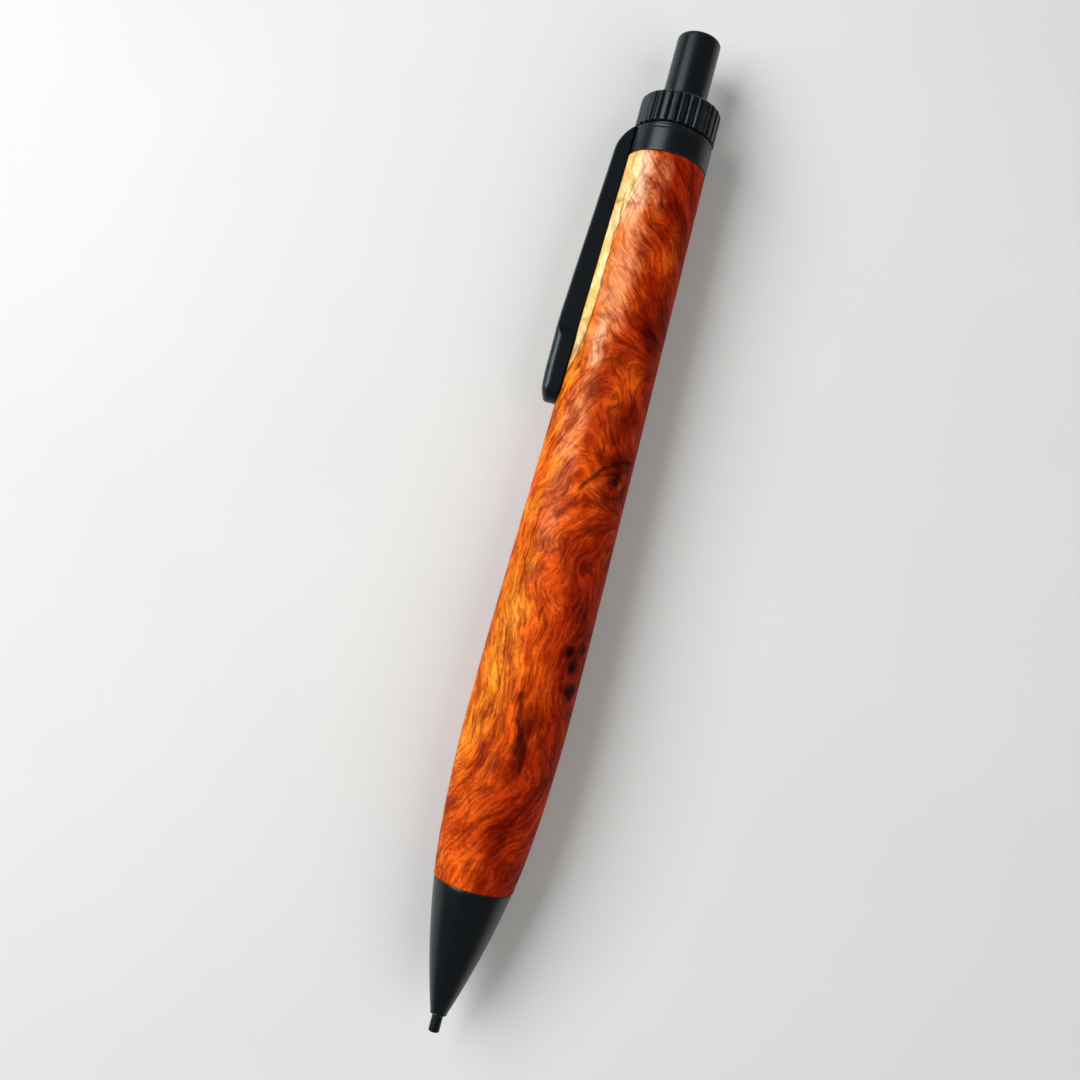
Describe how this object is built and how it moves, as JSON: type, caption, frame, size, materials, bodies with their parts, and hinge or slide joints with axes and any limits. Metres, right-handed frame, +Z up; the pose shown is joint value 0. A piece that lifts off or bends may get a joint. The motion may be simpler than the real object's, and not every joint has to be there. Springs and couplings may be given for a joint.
{
  "type": "mechanical pencil",
  "caption": "Push-button mechanical pencil: turned wooden barrel, black metal nose cone, pocket clip, grooved ring and push cap over an eraser.",
  "frame": {"origin": "on the barrel's axis, at the front end of the lead sleeve (the writing tip)", "axes": "+X along the barrel from the writing tip to the push button, +Y towards the pocket clip, +Z up with the pencil lying on its side"},
  "size_m": [0.141, 0.0158, 0.014],
  "materials": {
    "burl_wood": "polished burl",
    "black_metal": "black satin",
    "brass": "turned",
    "nickel": "nickel plated, turned",
    "spring_steel": "drawn wire",
    "milky_plastic": "translucent white",
    "grey_plastic": "moulded",
    "eraser_white": "matt vinyl",
    "black_rubber": "matt",
    "graphite": "polymer lead, slight sheen"
  },
  "bodies": {
    "barrel": {"wood_barrel": "burl_wood", "barrel_tube": "brass", "front_coupler": "brass", "rear_coupler": "brass", "collar": "black_metal", "clip_ring": "black_metal", "knurled_ring": "black_metal", "mechanism_sleeve": "grey_plastic", "mechanism_tip": "nickel", "lead_sleeve": "black_metal", "lead_retainer": "black_rubber", "chuck_spring": "spring_steel"},
    "nose": {"nose_cone": "black_metal"},
    "plunger": {"reservoir_tube": "milky_plastic", "chuck": "brass", "eraser_holder": "brass", "spare_leads": "graphite"},
    "clutch": {"clutch_ring": "brass"},
    "lead": {"lead": "graphite"},
    "eraser": {"eraser": "eraser_white"},
    "button": {"push_button": "black_metal"},
    "clip": {"clip_arm": "black_metal"}
  },
  "joints": [
    {"name": "button_press", "type": "slide", "parent": "barrel", "child": "plunger", "axis": [-1, 0, 0], "range_m": [0, 0.0035], "stiffness_N_per_m": 400, "springref_m": -0.001, "deforming": ["chuck_spring"]},
    {"name": "clutch_slide", "type": "slide", "parent": "barrel", "child": "clutch", "axis": [-1, 0, 0], "range_m": [0, 0.001]},
    {"name": "lead_feed", "type": "slide", "parent": "barrel", "child": "lead", "axis": [-1, 0, 0], "range_m": [0, 0.001]},
    {"name": "eraser_pull", "type": "slide", "parent": "plunger", "child": "eraser", "axis": [1, 0, 0], "range_m": [0, 0.008]},
    {"name": "button_pull", "type": "slide", "parent": "eraser", "child": "button", "axis": [1, 0, 0], "range_m": [0, 0.02]},
    {"name": "clip_flex", "type": "hinge", "parent": "barrel", "child": "clip", "pos_m": [0.1257, 0.006, 0], "axis": [0, 0, -1], "range_deg": [0, 4], "stiffness_Nm_per_rad": 0.2},
    {"name": "nose_unscrew", "type": "slide", "parent": "barrel", "child": "nose", "axis": [-1, 0, 0], "range_m": [0, 0.015]}
  ],
  "couplings": [
    {"joint": "clutch_slide", "follows": "button_press", "ratio": 0.2857},
    {"joint": "lead_feed", "follows": "button_press", "ratio": 0.2857}
  ]
}
